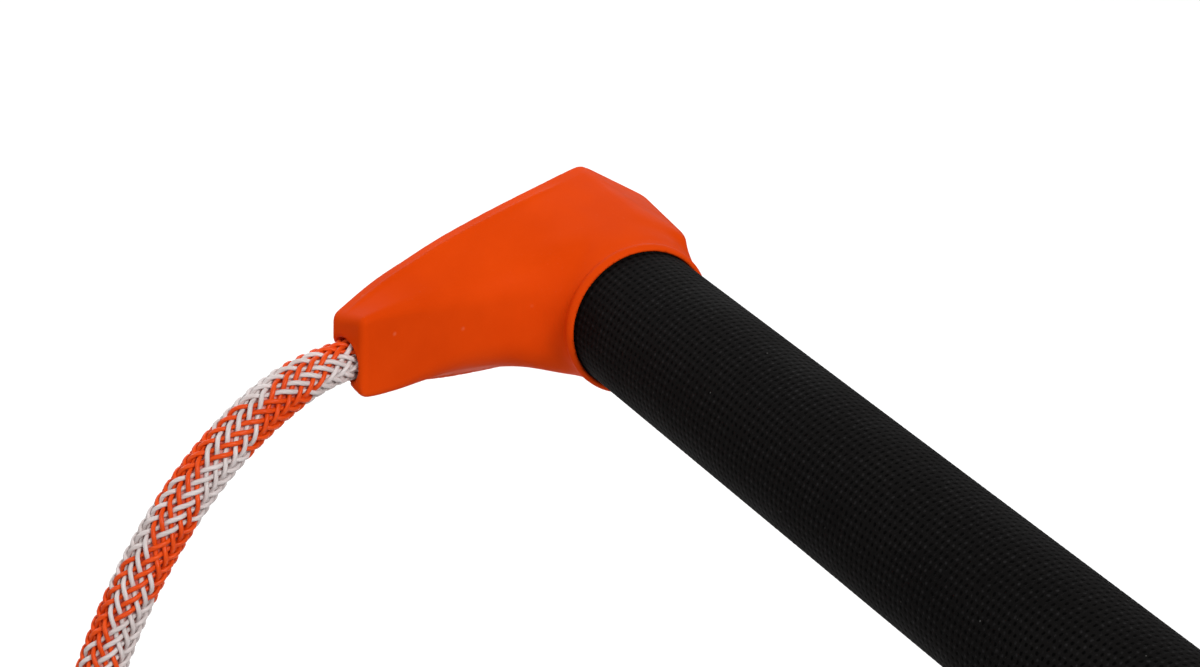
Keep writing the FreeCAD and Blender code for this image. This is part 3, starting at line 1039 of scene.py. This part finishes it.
def stamped_steel():
    s = Surface("stamped_steel", (0.6, 0.6, 0.6), 0.35, Metallic=1.0)
    brushed = s.noise(0.0005, 3.0, 0.6, (1.0, 0.05, 1.0))
    s.colour(s.tint(brushed, (0.50, 0.50, 0.50), (0.68, 0.68, 0.69)))
    s.roughness(brushed, 0.25, 0.5)
    s.bump(brushed, 0.01 * MM)
    return s.material


def closed_cell_foam():
    s = Surface("closed_cell_foam", (0.8, 0.8, 0.77), 0.95)
    cells = s.spots(0.0014, 0.55)
    s.colour(s.tint(cells, (0.84, 0.84, 0.81), (0.66, 0.66, 0.62)))
    s.bump(cells, -0.25 * MM)
    return s.material


def knotted_rope():
    """The stopper knots: bands of orange and white yarn."""
    s = Surface("knotted_rope", (0.7, 0.3, 0.2), 0.5)
    x, y, z = s.axes()
    slant = s.math("ADD", s.math("MULTIPLY", x, 1.4), s.math("ADD", y, z))
    yarn = s.between(s.math("SINE", s.math("MULTIPLY", slant, 2 * math.pi / (1.8 * MM))), -1.0, 1.0)
    bands = s.between(s.math("SINE", s.math("MULTIPLY", slant, 2 * math.pi / (11 * MM))), -0.1, 0.1)
    s.colour(s.tint(bands, (0.78, 0.10, 0.015), (0.68, 0.62, 0.60)))
    s.roughness(yarn, 0.4, 0.6)
    s.bump(yarn, 0.4 * MM)
    return s.material


def finish_inner_nodes():
    """Materials for the CAD pieces that stay as they are, inside the bar and the caps."""
    finishes = {
        "bar_tube": drawn_aluminium(),
        "foam_core": closed_cell_foam(),
        "sealing_bung": bung_rubber(),
        "anchor_plug": moulded_nylon(),
        "knot_washer": stamped_steel(),
        "stopper_knot": knotted_rope(),
    }
    finishes["rope_bush"] = finishes["anchor_plug"]
    for name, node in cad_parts.items():
        for start, finish in finishes.items():
            if name.startswith(start):
                node.data.materials.clear()
                node.data.materials.append(finish)


# ---------------------------------------------------------------- floor and light
FLOOR_Z = -0.47
FLOOR_HALF = 14.0
FLOOR_LINES = 15
SKY_STRENGTH = 0.34
CAP_PLACE = (-0.15, -0.03, 0.0)
# Square area lights: place, what it faces, side and power
LIGHTS = {
    "key_light": ((0.75, 0.05, 0.70), CAP_PLACE, 0.4, 9.0),
    "fill_light": ((0.25, -0.90, 0.45), CAP_PLACE, 0.5, 2.0),
    "floor_light": ((-1.2, 0.55, 0.1), (-1.2, 0.55, FLOOR_Z), 1.9, 21.5),
}


def make_floor():
    lines = np.linspace(-FLOOR_HALF, FLOOR_HALF, FLOOR_LINES)
    x, y = np.meshgrid(lines, lines, indexing="ij")
    points = np.stack([x, y, np.full_like(x, FLOOR_Z)], axis=-1).reshape(-1, 3)
    mesh = bpy.data.meshes.new("floor")
    mesh.from_pydata(points.tolist(), [], grid_faces(FLOOR_LINES, FLOOR_LINES, False).tolist())
    s = Surface("floor_paint", (0.60, 0.60, 0.60), 0.9, Specular_IOR_Level=0.1)
    s.colour(s.tint(s.noise(0.8, 2.0), (0.59, 0.59, 0.59), (0.61, 0.61, 0.61)))
    mesh.materials.append(s.material)
    floor = bpy.data.objects.new("floor", mesh)
    bpy.context.scene.collection.objects.link(floor)


def make_light():
    world = bpy.data.worlds.new("studio")
    world.use_nodes = True
    background = world.node_tree.nodes["Background"]
    background.inputs["Color"].default_value = (1.0, 1.0, 1.0, 1)
    background.inputs["Strength"].default_value = SKY_STRENGTH
    bpy.context.scene.world = world
    for name, (place, aim, side, power) in LIGHTS.items():
        data = bpy.data.lights.new(name, "AREA")
        data.size = side
        data.energy = power
        light = bpy.data.objects.new(name, data)
        light.location = place
        way = Vector(aim) - Vector(place)
        light.rotation_mode = "QUATERNION"
        light.rotation_quaternion = way.to_track_quat("-Z", "Y")
        bpy.context.scene.collection.objects.link(light)
    bpy.context.scene.view_settings.view_transform = "Standard"


# ---------------------------------------------------------------- build
make_camera()
rope, rope_track = make_rope()
make_inner_runs()
make_caps()
make_grip()
strap = make_strap()
whipping = make_whipping()
finish_inner_nodes()
make_floor()
make_light()

bpy.context.view_layer.update()
